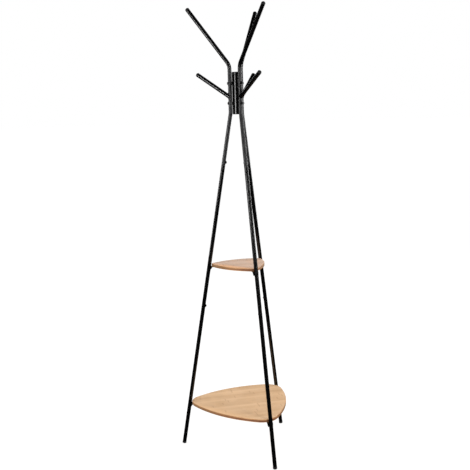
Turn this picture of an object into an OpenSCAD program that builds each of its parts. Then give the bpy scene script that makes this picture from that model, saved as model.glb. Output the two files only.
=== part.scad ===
// Hall tree: a three-legged coat stand of bent steel tube with two bamboo shelves.
// +Z is up, and the origin is at floor level on the stand's axis, midway between its feet.
// Each leg is a lower section, a middle section and a bent upper section. The upper section
// turns upright against the hub and then leans out again as a long coat hook. A short hook is
// welded to each upright. The three sides are alike, 120 degrees apart: left, front and rear.

/* [Legs] */
// Outer diameter of the frame tube
tube_d = 16; // [14:0.5:17]
// Wall thickness of the frame tube
tube_wall = 1.2; // [1:0.1:1.6]
// Radius of the circle that the feet stand on
foot_circle_r = 268; // [240:1:300]
// Height at which the legs turn upright
knee_z = 1391; // [1380:1:1395]
// Length of the lower and of the middle section of a leg
section_len = 600; // [560:1:620]
// Centre-line radius of the tube bends
bend_r = 50; // [40:1:60]
// Length of the necked end that enters the section above
spigot_len = 40; // [30:1:60]
// Height of the joint screw above its seam, along the leg
joint_screw_up = 14; // [10:1:25]

/* [Hooks] */
// Height at which the uprights turn out into the long hooks
hook_z = 1577; // [1572:1:1600]
// Length of a long hook, from its bend's corner to its tip
hook_len = 272; // [200:1:320]
// Tilt of the long hooks from the vertical
hook_tilt = 36.5; // [25:0.5:55]
// Height at which the short hooks meet their uprights
short_hook_z = 1452; // [1446:1:1475]
// Length of a short hook, from the upright's axis to its tip
short_hook_len = 161; // [100:1:200]
// Tilt of the short hooks from the vertical
short_hook_tilt = 54.5; // [45:0.5:60]
// Turn of the hooks about their upright, away from the plane of the leg
hook_turn = 12; // [-20:1:20]

/* [Hub] */
// Outer diameter of the central tube
hub_d = 40; // [36:1:46]
// Wall thickness of the central tube
hub_wall = 1.5; // [1:0.1:2]
// Length of the hub with its end caps
hub_len = 165; // [150:1:170]
// Height of the hub's lower end
hub_z = 1385; // [1380:1:1390]
// Distance between the two bolts of an upright
bolt_pitch = 78; // [70:1:90]

/* [Shelves] */
// Thickness of the boards
board_t = 12; // [10:1:15]
// Height of the lower shelf's top face
lower_shelf_z = 192; // [150:1:300]
// Distance from the axis to the middle of the lower shelf's sides
lower_side_r = 170; // [165:1:175]
// Corner radius of the lower shelf
lower_corner_r = 66; // [55:1:75]
// Height of the upper shelf's top face
upper_shelf_z = 782; // [760:1:800]
// Distance from the axis to the middle of the upper shelf's sides
upper_side_r = 92; // [90:1:94]
// Corner radius of the upper shelf
upper_corner_r = 24; // [20:1:28]
// Length of a shelf bracket, out from the leg
bracket_len = 14; // [13:1:20]
// Height of a shelf bracket at the leg
bracket_h = 15; // [12:1:20]

/* [Hidden] */
$fn = 96;
SIDES = ["left", "front", "rear"];
SIDE_ANGLES = [180, 300, 60];
LEVELS = ["lower", "upper"];

BLACK = [0.07, 0.07, 0.075];
PLASTIC = [0.1, 0.1, 0.105];
BAMBOO = [0.84, 0.66, 0.45];
ZINC = [0.72, 0.73, 0.75];

tube_r = tube_d / 2;
bore_r = tube_r - tube_wall;
hub_r = hub_d / 2;
weld_gap = 0.05;
edge = 0.4;
bend_swell = 0.05;
bend_entry = 0.6;
corner_swell = 0.05;

// the rivet nuts' flanges hold the uprights just off the hub
seat_gap = 0.8;
upright_r = hub_r + seat_gap + tube_r;
lean = atan((foot_circle_r - upright_r) / knee_z);
knee_len = knee_z / cos(lean);

// the necked end has a running fit in the section above
spigot_r = bore_r - 0.1;
spigot_bore_r = spigot_r - tube_wall;
neck_len = 5;

cap_r = tube_r + 0.25;
cap_head = 8;
cap_dome_r = 8.6;
cap_stem = 16;
foot_head = 10;
foot_dome_r = 11;
foot_below = 2;

// M6 screws join the leg sections, M6 bolts hold the uprights, 3.5 mm screws hold the boards
joint_screw = [6, 9, 12, 4.4, 4];
hub_bolt = [6, 25, 12, 3.6, 4];
shelf_screw = [3.5, 10, 7, 2, 2];
screw_slack = 0.25;
joint_nut_d = 8;
joint_nut_len = 5.5;
rivet_nut_d = 9;
rivet_nut_len = 10;
rivet_flange_d = 13;

hub_cap_flange = 2;
hub_cap_plug = 12;
hub_mid_z = hub_z + hub_len / 2;

bracket_w = 20;
plate_t = 2;
bracket_nose = 3;
cheek_reach = 6;
shelf_gap = 1;
screw_from_nose = 6;

function leg_x(z) = foot_circle_r - z * tan(lean);
function leg_face_x(z) = leg_x(z) - tube_r / cos(lean);
function shelf_z(level) = level == 0 ? lower_shelf_z : upper_shelf_z;
function under_z(level) = shelf_z(level) - board_t;
function nose_x(level) = leg_face_x(under_z(level)) - bracket_len;
function shelf_screw_x(level) = nose_x(level) + screw_from_nose;

// ---- placing ----

// +X points out from the axis, through side i
module at_side(i) rotate([0, 0, SIDE_ANGLES[i]]) children();

// +Z points up leg i from the floor, and -X points in to the axis; s is the way along the leg
module on_leg(i, s)
    at_side(i) translate([foot_circle_r, 0, 0]) rotate([0, -lean, 0]) translate([0, 0, s]) children();

// +Z points out of the leg's inner face
module on_inner_face(i, s, r) on_leg(i, s) rotate([0, -90, 0]) translate([0, 0, r]) children();

// +Z points out from the axis, r out from it at height z
module on_radius(i, r, z) at_side(i) translate([r, 0, z]) rotate([0, 90, 0]) children();

// +Z runs along short hook i from its upright's axis
module on_short_hook(i)
    at_side(i) translate([upright_r, 0, short_hook_z])
        rotate([0, 0, hook_turn]) rotate([0, short_hook_tilt, 0]) children();

// ---- tube work ----

module pipe(len) difference() {
    cylinder(h = len, r = tube_r);
    translate([0, 0, -1]) cylinder(h = len + 2, r = bore_r);
}

// a round bar's bend, from heading +Z towards +X, a hair fatter than the straights that enter it
module bar_bend(angle, r)
    translate([bend_r, 0, 0]) rotate([90, 0, 180])
        rotate_extrude(angle = angle) translate([bend_r, 0]) circle(r = r + bend_swell);

// a straight stretch of round bar that enters the bends before and after it
module bar(len, r, before, after)
    translate([0, 0, -before]) cylinder(h = before + len + after, r = r);

// the children go on from the far end of the bend
module after_bend(angle)
    translate([bend_r, 0, 0]) rotate([0, angle, 0]) translate([-bend_r, 0, 0]) children();

function bend_setback(angle) = bend_r * tan(angle / 2);

// a straight section, len long to its shoulder, with its necked end above that
module leg_section(len) rotate_extrude() polygon([
    [bore_r, 0],
    [tube_r - edge, 0],
    [tube_r, edge],
    [tube_r, len - edge],
    [tube_r - edge, len],
    [spigot_r, len],
    [spigot_r, len + spigot_len - edge],
    [spigot_r - edge, len + spigot_len],
    [spigot_bore_r, len + spigot_len],
    [spigot_bore_r, len - 1],
    [bore_r, len - neck_len]
]);

module joint_screw_hole(i, level)
    on_inner_face(i, (level + 1) * section_len + joint_screw_up, bore_r - 2)
        cylinder(h = tube_wall + 4, r = joint_screw[0] / 2 + screw_slack);

module joint_nut_hole(i, level)
    on_inner_face(i, (level + 1) * section_len + joint_screw_up, spigot_bore_r - 2)
        cylinder(h = tube_wall + 3, r = joint_nut_d / 2 + weld_gap);

module lower_tube(i) color(BLACK) difference() {
    on_leg(i, foot_head) leg_section(section_len - foot_head);
    joint_nut_hole(i, 0);
}

module middle_tube(i) color(BLACK) difference() {
    on_leg(i, section_len) leg_section(section_len);
    joint_screw_hole(i, 0);
    joint_nut_hole(i, 1);
}

// a bar of radius r from the seam through knee, upright and hook bend, and past both ends by over
module upper_bar(r, over) {
    leg_len = knee_len - 2 * section_len - bend_setback(lean);
    upright_len = hook_z - knee_z - bend_setback(lean) - bend_setback(hook_tilt);
    hook_straight = hook_len - cap_head - bend_setback(hook_tilt);
    bar(leg_len, r, over, bend_entry);
    translate([0, 0, leg_len]) {
        bar_bend(lean, r);
        after_bend(lean) {
            bar(upright_len, r, bend_entry, bend_entry);
            translate([0, 0, upright_len]) rotate([0, 0, hook_turn]) {
                bar_bend(hook_tilt, r);
                after_bend(hook_tilt) bar(hook_straight, r, bend_entry, over);
            }
        }
    }
}

// leg, knee, upright, hook bend and long hook, in one piece of tube
module upper_tube(i) color(BLACK) difference() {
    on_leg(i, 2 * section_len) upper_bar(tube_r, 0);
    on_leg(i, 2 * section_len) upper_bar(bore_r, 1);
    joint_screw_hole(i, 1);
    for (side = [-1, 1])
        on_radius(i, upright_r - tube_r - 1, hub_mid_z + side * bolt_pitch / 2)
            cylinder(h = tube_d + 2, r = hub_bolt[0] / 2 + screw_slack);
}

// a straight tube, shaped at its root to the upright's round
module short_hook(i) color(BLACK) difference() {
    on_short_hook(i) pipe(short_hook_len - cap_head);
    at_side(i) translate([upright_r, 0, short_hook_z - 4 * tube_d])
        cylinder(h = 8 * tube_d, r = tube_r + weld_gap);
}

// ---- end caps ----

// a domed head on a stem that fills the tube's bore
module domed_plug(head) {
    intersection() {
        cylinder(h = head, r = cap_r);
        translate([0, 0, head - cap_dome_r]) sphere(r = cap_dome_r);
    }
    translate([0, 0, -cap_stem]) cylinder(h = cap_stem, r = spigot_r);
}

module hook_cap(i) color(PLASTIC)
    at_side(i) translate([upright_r, 0, hook_z]) rotate([0, 0, hook_turn]) rotate([0, hook_tilt, 0])
        translate([0, 0, hook_len - cap_head]) domed_plug(cap_head);

module short_hook_cap(i) color(PLASTIC)
    on_short_hook(i) translate([0, 0, short_hook_len - cap_head]) domed_plug(cap_head);

// a rounded plug with a flat at floor level
module foot_cap(i) color(PLASTIC) difference() {
    on_leg(i, 0) {
        intersection() {
            translate([0, 0, -foot_below]) cylinder(h = foot_head + foot_below, r = cap_r);
            translate([0, 0, foot_dome_r - foot_below]) sphere(r = foot_dome_r);
        }
        translate([0, 0, foot_head]) cylinder(h = cap_stem, r = spigot_r);
    }
    at_side(i) translate([foot_circle_r, 0, -foot_head]) cube(2 * foot_head, center = true);
}

// ---- fasteners ----

// size = [shank diameter, shank length, head diameter, head height, key size]; the head's seat is at z = 0
module button_screw(size) {
    head_r = size[2] / 2;
    rim = 0.25 * size[3];
    crown = size[3] - rim;
    dome_r = (head_r * head_r + crown * crown) / (2 * crown);
    translate([0, 0, -size[1]]) cylinder(h = size[1], r = size[0] / 2);
    difference() {
        intersection() {
            cylinder(h = size[3], r = head_r);
            translate([0, 0, size[3] - dome_r]) sphere(r = dome_r);
        }
        translate([0, 0, size[3] * 0.4]) cylinder(h = size[3], r = size[4] / sqrt(3), $fn = 6);
    }
}

// a threaded sleeve below z = 0
module rivet_nut(body_d, len, bore_d) difference() {
    translate([0, 0, -len]) cylinder(h = len, r = body_d / 2);
    translate([0, 0, -len - 1]) cylinder(h = len + 2, r = bore_d / 2 + weld_gap);
}

module joint_screws(level) color(BLACK) for (i = [0 : 2])
    on_inner_face(i, (level + 1) * section_len + joint_screw_up, tube_r) button_screw(joint_screw);

module joint_nuts(level) color(ZINC) for (i = [0 : 2])
    on_inner_face(i, (level + 1) * section_len + joint_screw_up, spigot_r - 0.2)
        rivet_nut(joint_nut_d, joint_nut_len, joint_screw[0]);

module hub_bolts() color(BLACK) for (i = [0 : 2], side = [-1, 1])
    on_radius(i, upright_r + tube_r, hub_mid_z + side * bolt_pitch / 2) button_screw(hub_bolt);

module hub_rivet_nuts() color(ZINC) for (i = [0 : 2], side = [-1, 1])
    on_radius(i, hub_r, hub_mid_z + side * bolt_pitch / 2) {
        rivet_nut(rivet_nut_d, rivet_nut_len, hub_bolt[0]);
        difference() {
            cylinder(h = seat_gap, r = rivet_flange_d / 2);
            translate([0, 0, -1]) cylinder(h = seat_gap + 2, r = hub_bolt[0] / 2 + weld_gap);
        }
    }

module shelf_screws(level) color(ZINC) for (i = [0 : 2])
    at_side(i) translate([shelf_screw_x(level), 0, under_z(level) - plate_t])
        rotate([180, 0, 0]) button_screw(shelf_screw);

// ---- hub ----

module hub_tube() color(BLACK) difference() {
    translate([0, 0, hub_z + hub_cap_flange]) cylinder(h = hub_len - 2 * hub_cap_flange, r = hub_r);
    translate([0, 0, hub_z]) cylinder(h = hub_len, r = hub_r - hub_wall);
    for (i = [0 : 2], side = [-1, 1])
        on_radius(i, hub_r - hub_wall - 2, hub_mid_z + side * bolt_pitch / 2)
            cylinder(h = hub_wall + 4, r = rivet_nut_d / 2 + weld_gap);
}

// a flanged plug with a hollow skirt; z = 0 is the tube's end and +Z points out of it
module hub_cap() {
    skirt_r = hub_r - hub_wall - 0.1;
    rotate_extrude() polygon([
        [0, -1],
        [skirt_r - 2, -1],
        [skirt_r - 2, -hub_cap_plug],
        [skirt_r, -hub_cap_plug],
        [skirt_r, 0],
        [hub_r, 0],
        [hub_r, hub_cap_flange - 1],
        [hub_r - 1, hub_cap_flange],
        [0, hub_cap_flange]
    ]);
}

module hub_cap_top() color(PLASTIC)
    translate([0, 0, hub_z + hub_len - hub_cap_flange]) hub_cap();

module hub_cap_bottom() color(PLASTIC)
    translate([0, 0, hub_z + hub_cap_flange]) rotate([180, 0, 0]) hub_cap();

// ---- shelves ----

// A triangle with bowed sides and round corners. Each side is an arc about a centre on the far
// side of the axis, and each corner is a disc a hair proud of its two sides, which it all but
// touches in line.
module board_outline(tip_r, side_r, corner_r) {
    corner_x = tip_r - corner_r;
    inner_r = side_r - corner_r;
    centre_x = (corner_x * corner_x - inner_r * inner_r) / (2 * inner_r - corner_x);
    side_arc_r = centre_x + side_r;
    // the corner arc meets the side arcs on this line across the corner
    meet_x = corner_x + corner_r * (corner_x + centre_x / 2) / (side_arc_r - corner_r);
    intersection() {
        rotate([0, 0, SIDE_ANGLES[0]]) translate([centre_x, 0]) circle(r = side_arc_r, $fn = 360);
        rotate([0, 0, SIDE_ANGLES[1]]) translate([centre_x, 0]) circle(r = side_arc_r, $fn = 360);
        rotate([0, 0, SIDE_ANGLES[2]]) translate([centre_x, 0]) circle(r = side_arc_r, $fn = 360);
        rotate([0, 0, SIDE_ANGLES[0] + 60]) circle(r = 2 * meet_x, $fn = 3);
    }
    for (angle = SIDE_ANGLES)
        rotate([0, 0, angle]) translate([corner_x, 0]) circle(r = corner_r + corner_swell);
}

module shelf(level) color(BAMBOO) difference() {
    tip_r = leg_face_x(shelf_z(level)) - shelf_gap;
    side_r = level == 0 ? lower_side_r : upper_side_r;
    corner_r = level == 0 ? lower_corner_r : upper_corner_r;
    translate([0, 0, under_z(level)]) linear_extrude(board_t) board_outline(tip_r, side_r, corner_r);
    for (i = [0 : 2])
        at_side(i) translate([shelf_screw_x(level), 0, under_z(level) - 1])
            cylinder(h = shelf_screw[1] - plate_t + 2, r = shelf_screw[0] / 2 + weld_gap);
}

// a pressed plate under the board on two cheeks, shaped to the leg that they are welded to
module bracket(level, i) color(BLACK) difference() {
    top_z = under_z(level);
    x_in = nose_x(level);
    x_out = leg_x(top_z);
    x_cheek = leg_face_x(top_z) - cheek_reach;
    x_low = leg_face_x(top_z - bracket_h);
    at_side(i) {
        translate([x_in, -bracket_w / 2, top_z - plate_t]) cube([x_out - x_in, bracket_w, plate_t]);
        for (y = [-bracket_w / 2, bracket_w / 2 - plate_t])
            translate([0, y + plate_t, 0]) rotate([90, 0, 0]) linear_extrude(plate_t) polygon([
                [x_cheek, top_z],
                [x_out, top_z],
                [x_out, top_z - bracket_h],
                [x_low, top_z - bracket_h],
                [x_cheek, top_z - bracket_nose]
            ]);
    }
    on_leg(i, 0) cylinder(h = knee_len, r = tube_r + weld_gap);
    at_side(i) translate([shelf_screw_x(level), 0, top_z - plate_t - 1])
        cylinder(h = plate_t + 2, r = shelf_screw[0] / 2 + screw_slack);
}

for (i = [0 : 2]) {
    foot_cap(i);
    lower_tube(i);
    middle_tube(i);
    upper_tube(i);
    hook_cap(i);
    short_hook(i);
    short_hook_cap(i);
    bracket(0, i);
    bracket(1, i);
}
for (level = [0 : 1]) {
    shelf(level);
    shelf_screws(level);
    joint_screws(level);
    joint_nuts(level);
}
hub_tube();
hub_cap_top();
hub_cap_bottom();
hub_bolts();
hub_rivet_nuts();
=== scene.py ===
"""Hall tree: looks for a three-legged coat stand of black tube with two bamboo shelves."""
import math

import bmesh
import bpy
from mathutils import Matrix, Vector


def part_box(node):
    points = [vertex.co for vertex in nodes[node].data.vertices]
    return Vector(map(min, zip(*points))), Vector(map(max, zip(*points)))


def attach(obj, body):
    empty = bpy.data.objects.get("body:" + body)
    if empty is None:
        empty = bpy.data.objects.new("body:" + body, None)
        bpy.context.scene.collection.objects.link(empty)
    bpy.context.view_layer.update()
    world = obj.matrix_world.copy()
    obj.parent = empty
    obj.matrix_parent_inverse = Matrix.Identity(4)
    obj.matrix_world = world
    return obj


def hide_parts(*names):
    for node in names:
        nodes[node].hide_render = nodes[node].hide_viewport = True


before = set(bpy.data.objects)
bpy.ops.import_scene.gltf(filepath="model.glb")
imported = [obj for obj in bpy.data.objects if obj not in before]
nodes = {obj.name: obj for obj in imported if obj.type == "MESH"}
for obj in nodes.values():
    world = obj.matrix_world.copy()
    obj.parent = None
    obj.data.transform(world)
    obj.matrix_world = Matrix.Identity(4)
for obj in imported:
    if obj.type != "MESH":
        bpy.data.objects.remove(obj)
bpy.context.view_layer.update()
scene = bpy.context.scene

SIDES = ("left", "front", "rear")
SIDE_ANGLES = [math.radians(a) for a in (180, 300, 60)]
# the direction that the softboxes' azimuths count from
CAMERA_AZIMUTH = math.radians(6.0)


# ---- shader graphs ----

class Graph:
    """A material's node tree, with short ways to add and link nodes. A socket given as an input is linked."""

    def __init__(self, name):
        self.material = bpy.data.materials.new(name)
        self.material.use_nodes = True
        self.tree = self.material.node_tree
        self.tree.nodes.clear()
        self.shader = self.add("ShaderNodeBsdfPrincipled")
        output = self.add("ShaderNodeOutputMaterial")
        self.tree.links.new(self.shader.outputs[0], output.inputs["Surface"])
        self.place = self.add("ShaderNodeTexCoord").outputs["Object"]

    def add(self, kind, inputs=None, **settings):
        node = self.tree.nodes.new(kind)
        for key, value in settings.items():
            setattr(node, key, value)
        for key, value in (inputs or {}).items():
            self.feed(node.inputs[key], value)
        return node

    def feed(self, socket, value):
        if isinstance(value, bpy.types.NodeSocket):
            self.tree.links.new(value, socket)
        else:
            socket.default_value = value

    def math(self, operation, a, b=0.0, c=0.0):
        return self.add("ShaderNodeMath", {0: a, 1: b, 2: c}, operation=operation).outputs[0]

    def vector(self, operation, a, b=(0, 0, 0)):
        return self.add("ShaderNodeVectorMath", {0: a, 1: b}, operation=operation).outputs[0]

    def dot(self, a, b):
        return self.add("ShaderNodeVectorMath", {0: a, 1: b}, operation="DOT_PRODUCT").outputs["Value"]

    def place_of(self, x, y):
        """The vector (x, y, 0)."""
        return self.add("ShaderNodeCombineXYZ", {0: x, 1: y}).outputs[0]

    def noise(self, place, scale, detail=2.0, roughness=0.5):
        inputs = {"Vector": place, "Scale": scale, "Detail": detail, "Roughness": roughness}
        return self.add("ShaderNodeTexNoise", inputs).outputs["Fac"]

    def ramp(self, value, low, high, to_low=0.0, to_high=1.0):
        """value from low..high to to_low..to_high, smoothly and clamped."""
        inputs = {"Value": value, "From Min": low, "From Max": high, "To Min": to_low, "To Max": to_high}
        return self.add("ShaderNodeMapRange", inputs, interpolation_type="SMOOTHSTEP").outputs[0]

    def mix(self, share, a, b):
        node = self.add("ShaderNodeMix", data_type="RGBA")
        self.feed(node.inputs[0], share)
        self.feed(node.inputs[6], a)
        self.feed(node.inputs[7], b)
        return node.outputs[2]

    def bump(self, height, strength, distance):
        inputs = {"Height": height, "Strength": strength, "Distance": distance}
        return self.add("ShaderNodeBump", inputs).outputs[0]

    def set(self, **inputs):
        """The shader's inputs by name, with _ for a space."""
        for key, value in inputs.items():
            self.feed(self.shader.inputs[key.replace("_", " ")], value)


# the height band over which the uprights' coat turns from plain black to a paler, rougher coat; the paler
# tone is a painted sheen
SHEEN_START_Z = 1.585
SHEEN_FULL_Z = 1.545


def powder_coat(name, rough, sheen_tone=0.0008, worn=0.0):
    """Satin black powder coat on steel: fine orange peel, and a sheen that varies along the tube.
    Below the hooks its colour is lifted to a paler grey, a painted sheen for the light these tubes catch, and
    it is rougher by worn."""
    g = Graph(name)
    cloud = g.noise(g.place, 9.0, 4.0, 0.6)
    peel = g.noise(g.place, 900.0, 2.0)
    speck = g.noise(g.place, 2600.0, 1.0)
    tone = g.ramp(cloud, 0.3, 0.7)
    fleck = g.ramp(speck, 0.62, 0.72)
    colour = g.mix(tone, (0.0005, 0.0005, 0.00055, 1), (0.001, 0.001, 0.0011, 1))
    height = g.add("ShaderNodeSeparateXYZ", {0: g.place}).outputs[2]
    # painted sheen: under the band the colour is lifted to a paler grey for the light these tubes catch; the
    # same mask makes the coat rougher
    sheen_and_rough = g.ramp(height, SHEEN_START_Z, SHEEN_FULL_Z)
    colour = g.mix(sheen_and_rough, colour, (sheen_tone, sheen_tone, sheen_tone * 1.05, 1))
    colour = g.mix(g.math("MULTIPLY", fleck, 0.4), colour, (0.006, 0.006, 0.0063, 1))
    g.set(Base_Color=colour, Specular_IOR_Level=0.5)
    grain = g.math("MULTIPLY_ADD", peel, 0.04, g.math("MULTIPLY", sheen_and_rough, worn))
    g.set(Roughness=g.math("ADD", g.ramp(cloud, 0.3, 0.7, rough, rough + 0.05), grain))
    g.set(Normal=g.bump(peel, 0.05, 0.0004))
    return g.material


def moulded_plastic():
    """Black moulded plastic with a fine spark-eroded texture."""
    g = Graph("moulded_plastic")
    grain = g.noise(g.place, 2200.0, 3.0, 0.7)
    cloud = g.noise(g.place, 60.0, 3.0)
    colour = g.mix(g.ramp(cloud, 0.3, 0.7), (0.005, 0.005, 0.0055, 1), (0.009, 0.009, 0.0095, 1))
    g.set(Base_Color=colour)
    g.set(Roughness=g.ramp(grain, 0.3, 0.7, 0.42, 0.6), Normal=g.bump(grain, 0.25, 0.0002))
    return g.material


def black_oxide():
    """Blackened steel screws."""
    g = Graph("black_oxide")
    grain = g.noise(g.place, 1400.0, 4.0, 0.6)
    colour = g.mix(g.ramp(grain, 0.35, 0.65), (0.006, 0.006, 0.0065, 1), (0.014, 0.014, 0.015, 1))
    g.set(Base_Color=colour, Metallic=0.85)
    g.set(Roughness=g.ramp(grain, 0.3, 0.7, 0.34, 0.50), Normal=g.bump(grain, 0.1, 0.0001))
    return g.material


def zinc_plate():
    """Bright zinc plating with a faint blue to yellow cast."""
    g = Graph("zinc_plate")
    grain = g.noise(g.place, 1200.0, 4.0, 0.65)
    cloud = g.noise(g.place, 120.0, 2.0)
    colour = g.mix(g.ramp(cloud, 0.35, 0.65), (0.52, 0.54, 0.58, 1), (0.62, 0.61, 0.56, 1))
    g.set(Base_Color=colour, Metallic=1.0)
    g.set(Roughness=g.ramp(grain, 0.3, 0.7, 0.25, 0.42), Normal=g.bump(grain, 0.1, 0.0001))
    return g.material


GRAIN = math.radians(19)
STRIP_WIDTH = 0.021
KNUCKLE_PITCH = 0.235
# the side between the left and front corners, along whose rim the top is painted a warmer orange: a painted
# rim highlight
RIM_HIGHLIGHT_SIDE = math.radians(240)


def bamboo(name, seed, side_r, light, dark, warm):
    """Flat-pressed bamboo, matt lacquered: strips with their own tone, long fibres, dark knuckles."""
    g = Graph(name)
    turned = g.add("ShaderNodeVectorRotate", {"Vector": g.place, "Angle": -GRAIN}, rotation_type="Z_AXIS")
    along, across, _ = g.add("ShaderNodeSeparateXYZ", {0: turned.outputs[0]}).outputs
    across = g.math("ADD", across, seed * 0.37)
    row = g.math("DIVIDE", across, STRIP_WIDTH)
    strip = g.math("FLOOR", row)
    own = g.add("ShaderNodeTexWhiteNoise", {"W": strip}, noise_dimensions="1D").outputs["Value"]
    in_row = g.math("FRACT", row)
    # fibres: noise drawn out along the grain, a different stretch of it for each strip
    shifted = g.math("ADD", along, g.math("MULTIPLY", own, 5.0))
    fibre_place = g.place_of(g.math("MULTIPLY", shifted, 4.0), g.math("MULTIPLY", across, 330.0))
    fibre = g.noise(fibre_place, 1.0, 3.0, 0.6)
    hair_place = g.place_of(g.math("MULTIPLY", shifted, 18.0), g.math("MULTIPLY", across, 1500.0))
    hair = g.noise(hair_place, 1.0, 2.0, 0.55)
    cloud = g.noise(g.place, 11.0, 2.0)
    mottle = g.noise(g.vector("ADD", g.place, (seed, seed, 0)), 27.0, 2.0)
    # a knuckle crosses each strip now and then
    beat = g.math("FRACT", g.math("DIVIDE", shifted, KNUCKLE_PITCH))
    near = g.math("MULTIPLY", g.math("ABSOLUTE", g.math("SUBTRACT", beat, 0.5)), KNUCKLE_PITCH)
    wavy = g.math("MULTIPLY_ADD", g.math("SUBTRACT", fibre, 0.5), 0.003, near)
    knuckle = g.ramp(wavy, 0.0035, 0.0008)
    soft = g.math("MULTIPLY_ADD", fibre, 0.42, g.math("MULTIPLY", cloud, 0.16))
    shade = g.math("MULTIPLY_ADD", own, 0.42, soft)
    colour = g.mix(g.ramp(shade, 0.2, 0.8), dark, light)
    colour = g.mix(g.ramp(mottle, 0.45, 0.7, 0.0, 0.3), colour, warm)
    colour = g.mix(g.ramp(hair, 0.55, 0.75, 0.0, 0.22), colour, (0.44, 0.245, 0.105, 1))
    colour = g.mix(g.ramp(cloud, 0.35, 0.65, 0.0, 0.10), colour, (0.70, 0.51, 0.355, 1))
    # painted rim highlight: a warm orange band along the top's rim at that side
    toward = g.dot(g.place, (math.cos(RIM_HIGHLIGHT_SIDE), math.sin(RIM_HIGHLIGHT_SIDE), 0))
    colour = g.mix(g.ramp(toward, side_r - 0.05, side_r - 0.01, 0.0, 0.85), colour, warm)
    colour = g.mix(g.math("MULTIPLY", knuckle, 0.35), colour, (0.30, 0.15, 0.07, 1))
    seam = g.ramp(g.math("ABSOLUTE", g.math("SUBTRACT", in_row, 0.5)), 0.485, 0.497)
    colour = g.mix(g.math("MULTIPLY", seam, 0.35), colour, (0.36, 0.19, 0.09, 1))
    sunk = g.math("ADD", seam, g.math("MULTIPLY", knuckle, 0.4))
    height = g.math("SUBTRACT", g.math("MULTIPLY", hair, 0.4), sunk)
    g.set(Base_Color=colour, Normal=g.bump(height, 0.15, 0.0003))
    g.set(Roughness=g.ramp(fibre, 0.2, 0.8, 0.60, 0.72))
    g.set(Specular_IOR_Level=0.3, Coat_Weight=0.05, Coat_Roughness=0.5)
    return g.material


def bamboo_edge(name, mid_z, thickness, seed):
    """The board's side: two outer plies and a core ply across them, each dark where its fibres end."""
    g = Graph(name)
    z = g.add("ShaderNodeSeparateXYZ", {0: g.place}).outputs[2]
    height = g.math("DIVIDE", g.math("ABSOLUTE", g.math("SUBTRACT", z, mid_z)), thickness / 2)
    core = g.ramp(height, 0.60, 0.50)
    line = g.math("MULTIPLY", g.ramp(height, 0.48, 0.54), g.ramp(height, 0.62, 0.56))
    normal = g.add("ShaderNodeNewGeometry").outputs["Normal"]
    # how squarely the outer plies' and the core's fibres meet the side
    outer, inner = [
        g.math("ABSOLUTE", g.dot(normal, (math.cos(a), math.sin(a), 0)))
        for a in (GRAIN, GRAIN + math.pi / 2)
    ]
    stretched = g.vector("MULTIPLY", g.place, (28.0, 28.0, 900.0))
    fibre = g.noise(g.vector("ADD", stretched, (seed, seed, seed)), 1.0, 3.0, 0.6)
    cells = g.noise(g.place, 1500.0, 2.0)
    blocks = g.noise(g.vector("ADD", g.place, (seed, 0, 0)), 38.0, 1.0)
    stretch = g.noise(g.vector("ADD", g.place, (0, seed, 0)), 10.0, 1.0)
    # the side's tones are darker than the top's partly by the plies' own colour and partly as painted shade,
    # for the side getting less light than the top
    colour = g.mix(g.ramp(fibre, 0.3, 0.7), (0.33, 0.142, 0.045, 1), (0.50, 0.24, 0.088, 1))
    colour = g.mix(g.ramp(stretch, 0.42, 0.58, 0.0, 0.6), colour, (0.66, 0.34, 0.14, 1))
    outer_end = g.math("MULTIPLY", g.ramp(outer, 0.62, 0.95), g.ramp(cells, 0.3, 0.55, 0.45, 0.9))
    colour = g.mix(outer_end, colour, (0.17, 0.088, 0.03, 1))
    end = g.math("MULTIPLY", g.ramp(inner, 0.35, 0.95), core)
    dark = g.mix(g.ramp(cells, 0.35, 0.6), (0.05, 0.012, 0.005, 1), (0.22, 0.07, 0.025, 1))
    dark = g.mix(g.ramp(blocks, 0.35, 0.65), dark, (0.10, 0.025, 0.009, 1))
    colour = g.mix(g.math("MULTIPLY", end, 0.95), colour, dark)
    colour = g.mix(g.math("MULTIPLY", core, 0.1), colour, (0.40, 0.20, 0.08, 1))
    colour = g.mix(g.math("MULTIPLY", line, 0.6), colour, (0.20, 0.09, 0.04, 1))
    g.set(Base_Color=colour, Normal=g.bump(g.math("ADD", fibre, cells), 0.15, 0.0003))
    g.set(Roughness=g.ramp(fibre, 0.2, 0.8, 0.45, 0.6))
    g.set(Coat_Weight=0.1, Coat_Roughness=0.35)
    return g.material


def piece(name, mesh, materials):
    """An object on the root body, made from a bmesh."""
    data = bpy.data.meshes.new(name)
    mesh.to_mesh(data)
    mesh.free()
    obj = bpy.data.objects.new(name, data)
    scene.collection.objects.link(obj)
    for material in materials:
        data.materials.append(material)
    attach(obj, "root")
    return obj


# ---- boards ----

EASE = 0.0018
EASE_STEPS = 4
ARC_STEPS = 48


def outline(tip_r, side_r, corner_r, inset):
    """A board's outline drawn in by inset, as points: round corners run smoothly into bowed sides."""
    corner_x = tip_r - corner_r
    inner_r = side_r - corner_r
    centre_x = (corner_x ** 2 - inner_r ** 2) / (2 * inner_r - corner_x)
    arc_r = centre_x + side_r
    # the angle at which a corner's arc hands over to its side's arc, seen from the corner's centre
    meet = math.atan2(centre_x * math.sin(math.pi / 3), corner_x + centre_x / 2)
    points = []
    for angle in sorted(a % math.tau for a in SIDE_ANGLES):
        corner = Vector((math.cos(angle), math.sin(angle))) * corner_x
        for k in range(ARC_STEPS):
            a = angle - meet + 2 * meet * k / ARC_STEPS
            points.append(corner + Vector((math.cos(a), math.sin(a))) * (corner_r - inset))
        middle = angle + math.pi / 3
        centre = -Vector((math.cos(middle), math.sin(middle))) * centre_x
        reach = math.pi / 3 - meet
        for k in range(ARC_STEPS):
            a = middle - reach + 2 * reach * k / ARC_STEPS
            points.append(centre + Vector((math.cos(a), math.sin(a))) * (arc_r - inset))
    return points


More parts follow.
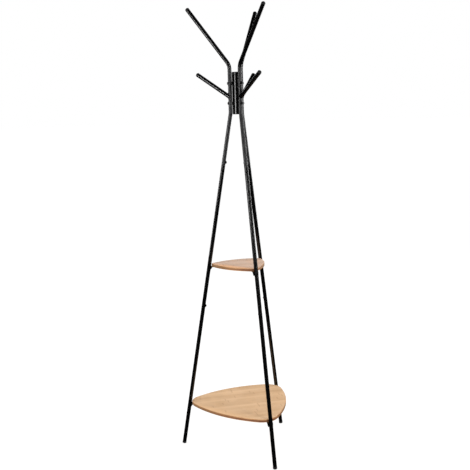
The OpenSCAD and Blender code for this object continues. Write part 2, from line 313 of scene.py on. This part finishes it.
def board(name, node, side_r, corner_r, materials):
    """A board with eased edges, in place of a CAD shelf."""
    low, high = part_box(node)
    tip_r = -low.x
    profile = []
    for k in range(EASE_STEPS + 1):
        a = math.pi / 2 * k / EASE_STEPS
        profile.append((EASE * (1 - math.sin(a)), EASE * (1 - math.cos(a))))
    rings = [(inset, low.z + rise) for inset, rise in profile]
    rings += [(inset, high.z - rise) for inset, rise in reversed(profile)]
    mesh = bmesh.new()
    loops = []
    for inset, z in rings:
        loops.append([mesh.verts.new((p.x, p.y, z)) for p in outline(tip_r, side_r, corner_r, inset)])
    count = len(loops[0])
    for one, two in zip(loops, loops[1:]):
        for i in range(count):
            j = (i + 1) % count
            face = mesh.faces.new((one[i], one[j], two[j], two[i]))
            face.material_index = 1
            face.smooth = True
    mesh.faces.new(list(reversed(loops[0])))
    mesh.faces.new(loops[-1])
    mesh.normal_update()
    obj = piece(name, mesh, materials)
    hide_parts(node)


# the top's light, dark and warm tones
TONES = {
    "lower": ((0.635, 0.414, 0.234, 1), (0.497, 0.307, 0.159, 1), (0.653, 0.404, 0.212, 1)),
    # upper: its light and dark tones are the bamboo's own colour greyed toward pink by a painted reflection,
    # the pale veil of a reflection on its lacquer
    "upper": ((0.663, 0.476, 0.367, 1), (0.507, 0.344, 0.25, 1), (0.79, 0.422, 0.205, 1)),
}
# level, radius at a side's middle, corner radius, offsets of the top's and the side's noise
BOARDS = (("lower", 0.170, 0.066, 3.0, 6.2), ("upper", 0.092, 0.024, 8.0, 1.7))
for level, side_r, corner_r, seed, edge_seed in BOARDS:
    node = level + "_shelf"
    low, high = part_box(node)
    face = bamboo(level + "_bamboo", seed, side_r, *TONES[level])
    edge = bamboo_edge(level + "_bamboo_edge", (low.z + high.z) / 2, high.z - low.z, edge_seed)
    board(level + "_board", node, side_r, corner_r, (face, edge))


# ---- weld beads ----

# the tubes: radius, uprights' distance from the axis, hooks' turn and the short hooks' tilt
TUBE_R = 0.008
HUB_GAP = 0.0008
UPRIGHT_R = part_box("hub_tube")[1].x + HUB_GAP + TUBE_R
HOOK_TURN = math.radians(12)
SHORT_HOOK_TILT = math.radians(54.5)
# the brackets: their cheeks' distance from the middle, and the leg's lean over a cheek's height
CHEEK_Y = 0.0087
LEG_LEAN = 0.0006
SEAM_END = 0.001
# the beads: radius, ripples, and spacing and number of points
BEAD_R = 0.0013
RIPPLE_PITCH = 0.0018
RIPPLE_SWELL = 0.14
STEP = 0.00045
BEAD_SIDES = 10
COAT = powder_coat("powder_coat", 0.16)


def bead(name, paths, toward):
    """Weld beads along paths of points: a round section that swells at each ripple, with closed ends."""
    mesh = bmesh.new()
    for path in paths:
        rings = []
        for i, point in enumerate(path):
            ahead = (path[min(i + 1, len(path) - 1)] - path[max(i - 1, 0)]).normalized()
            side = ahead.cross(toward).normalized()
            up = side.cross(ahead)
            r = BEAD_R * (1 + RIPPLE_SWELL * math.sin(math.tau * i * STEP / RIPPLE_PITCH))
            turns = [math.tau * k / BEAD_SIDES for k in range(BEAD_SIDES)]
            rings.append([mesh.verts.new(point + (side * math.cos(a) + up * math.sin(a)) * r) for a in turns])
        for one, two in zip(rings, rings[1:]):
            for k in range(BEAD_SIDES):
                j = (k + 1) % BEAD_SIDES
                mesh.faces.new((one[k], one[j], two[j], two[k]))
        mesh.faces.new(list(reversed(rings[0])))
        mesh.faces.new(rings[-1])
    bmesh.ops.recalc_face_normals(mesh, faces=mesh.faces)
    for face in mesh.faces:
        face.smooth = len(face.verts) == 4
    piece(name, mesh, [COAT])


def even(path):
    """The same path with its points STEP apart."""
    points = [path[0]]
    for start, end in zip(path, path[1:]):
        while (end - points[-1]).length > STEP:
            points.append(points[-1] + (end - points[-1]).normalized() * STEP)
    return points


def saddle(angle, low_z):
    """The arcs over and under a short hook where its tube meets the upright, and the hook's direction."""
    out = Vector((math.cos(angle + HOOK_TURN), math.sin(angle + HOOK_TURN), 0))
    along = out * math.sin(SHORT_HOOK_TILT) + Vector((0, 0, math.cos(SHORT_HOOK_TILT)))
    over = Vector((0, 0, math.sin(SHORT_HOOK_TILT))) - out * math.cos(SHORT_HOOK_TILT)
    beside = over.cross(along)
    centre_z = low_z + TUBE_R * math.tan(SHORT_HOOK_TILT / 2)
    centre = Vector((math.cos(angle) * UPRIGHT_R, math.sin(angle) * UPRIGHT_R, centre_z))
    arcs = []
    for first in (-90, 90):
        arc = []
        for k in range(91):
            turn = math.radians(first + 2 * k)
            reach = math.cos(turn) * math.cos(SHORT_HOOK_TILT) + abs(math.cos(turn))
            around = over * math.cos(turn) + beside * math.sin(turn)
            arc.append(centre + (along * reach / math.sin(SHORT_HOOK_TILT) + around) * TUBE_R)
        arcs.append(even(arc))
    return arcs, along


for side, angle in zip(SIDES, SIDE_ANGLES):
    arcs, along = saddle(angle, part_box("short_hook_" + side)[0].z)
    bead("weld_short_hook_" + side, arcs, along)
    for level in ("lower", "upper"):
        low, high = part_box(level + "_bracket_left")
        seams = []
        for y in (-CHEEK_Y, CHEEK_Y):
            top = Vector((-low.x, y, high.z - SEAM_END))
            bottom = Vector((-low.x + LEG_LEAN, y, low.z + SEAM_END))
            seams.append(even([Matrix.Rotation(angle, 3, "Z") @ end for end in (top, bottom)]))
        outward = Vector((math.cos(angle), math.sin(angle), 0))
        bead("weld_" + level + "_bracket_" + side, seams, outward)


# ---- finishes of the CAD nodes ----

# the upper tubes' coat: a painted sheen (a paler grey) and a rougher coat below the hooks
SHEEN_PAINTED_COAT = powder_coat("sheen_painted_coat", 0.16, sheen_tone=0.013, worn=0.09)
HUB_COAT = powder_coat("gloss_coat", 0.14)
PLASTIC = moulded_plastic()
OXIDE = black_oxide()
ZINC = zinc_plate()


def finish_of(name):
    if "cap" in name:
        return PLASTIC
    if "nuts" in name or "shelf_screws" in name:
        return ZINC
    if "screws" in name or "bolts" in name:
        return OXIDE
    if name == "hub_tube":
        return HUB_COAT
    return SHEEN_PAINTED_COAT if "upper_tube" in name else COAT


for name, obj in nodes.items():
    if name.endswith("_shelf"):
        continue
    obj.data.materials.clear()
    obj.data.materials.append(finish_of(name))


# ---- floor, light and camera ----

def white_floor():
    """A white sweep that glows a little, so that shadows on it stay faint."""
    g = Graph("floor_white")
    g.set(Base_Color=(0.25, 0.25, 0.25, 1), Roughness=1.0, Specular_IOR_Level=0.0)
    g.set(Emission_Color=(1, 1, 1, 1), Emission_Strength=0.76)
    return g.material


FLOOR_REACH = 60.0
floor_mesh = bpy.data.meshes.new("floor")
floor_corners = [(x * FLOOR_REACH, y * FLOOR_REACH, 0) for x, y in ((-1, -1), (1, -1), (1, 1), (-1, 1))]
floor_mesh.from_pydata(floor_corners, [], [(0, 1, 2, 3)])
floor_mesh.materials.append(white_floor())
floor = bpy.data.objects.new("floor", floor_mesh)
scene.collection.objects.link(floor)
floor.visible_glossy = False

# a white world that reflections hardly see, so the black tubes mirror only the softboxes
world = bpy.data.worlds.new("studio")
scene.world = world
world.use_nodes = True
tree = world.node_tree
background = tree.nodes["Background"]
path = tree.nodes.new("ShaderNodeLightPath")
glossy = tree.nodes.new("ShaderNodeMapRange")
glossy.inputs["To Min"].default_value = 1.0
glossy.inputs["To Max"].default_value = 0.008
tree.links.new(path.outputs["Is Glossy Ray"], glossy.inputs["Value"])
tree.links.new(glossy.outputs[0], background.inputs["Strength"])
background.inputs["Color"].default_value = (1, 1, 1, 1)


def softbox(name, azimuth, distance, height, width, tall, power, aim_z, only=()):
    """An area light at azimuth degrees from the camera's own, turned to the stand's axis at aim_z.
    Where only names some CAD nodes, the light falls on those alone."""
    a = CAMERA_AZIMUTH + math.radians(azimuth)
    place = Vector((math.sin(a) * distance, -math.cos(a) * distance, height))
    light = bpy.data.lights.new(name, "AREA")
    light.shape = "RECTANGLE"
    light.size = width
    light.size_y = tall
    light.energy = power
    obj = bpy.data.objects.new(name, light)
    obj.location = place
    obj.rotation_euler = (Vector((0, 0, aim_z)) - place).to_track_quat("-Z", "Y").to_euler()
    obj.visible_camera = False
    scene.collection.objects.link(obj)
    if only:
        lit = bpy.data.collections.new(name + "_lit")
        for node in only:
            lit.objects.link(nodes[node])
        obj.light_linking.receiver_collection = lit


softbox("left", -50, 3.6, 1.42, 0.85, 0.55, 26, 1.4)
softbox("right", 46, 3.6, 1.8, 0.6, 1.3, 48, 1.3)
softbox("low_long", -46, 2.7, 0.30, 0.45, 0.3, 20, 1.7, only=("upper_tube_left", "hook_cap_left"))
softbox("low_short", -13, 2.7, 0.16, 0.5, 0.3, 22, 1.5, only=("short_hook_left", "short_hook_cap_left"))
softbox("back", 170, 3.6, 2.6, 3.0, 1.2, 16, 1.0)
softbox("back_left", -128, 3.6, 1.3, 0.9, 1.6, 40, 1.2)
softbox("back_right", 132, 3.6, 1.3, 0.9, 1.6, 40, 1.2)

CAMERA_PLACE = (0.3235, -3.179, 1.4209)
CAMERA_TURN = 0.1092
CAMERA_TILT = 0.1617
CAMERA_ROLL = 0.0279

camera_data = bpy.data.cameras.new("camera")
camera_data.sensor_width = 36.0
camera_data.lens = 60.95
camera_data.clip_end = 200.0
camera = bpy.data.objects.new("camera", camera_data)
camera.matrix_world = (
    Matrix.Translation(CAMERA_PLACE)
    @ Matrix.Rotation(CAMERA_TURN, 4, "Z")
    @ Matrix.Rotation(math.pi / 2 - CAMERA_TILT, 4, "X")
    @ Matrix.Rotation(-CAMERA_ROLL, 4, "Z")
)
scene.collection.objects.link(camera)
scene.camera = camera
scene.view_settings.view_transform = "Standard"
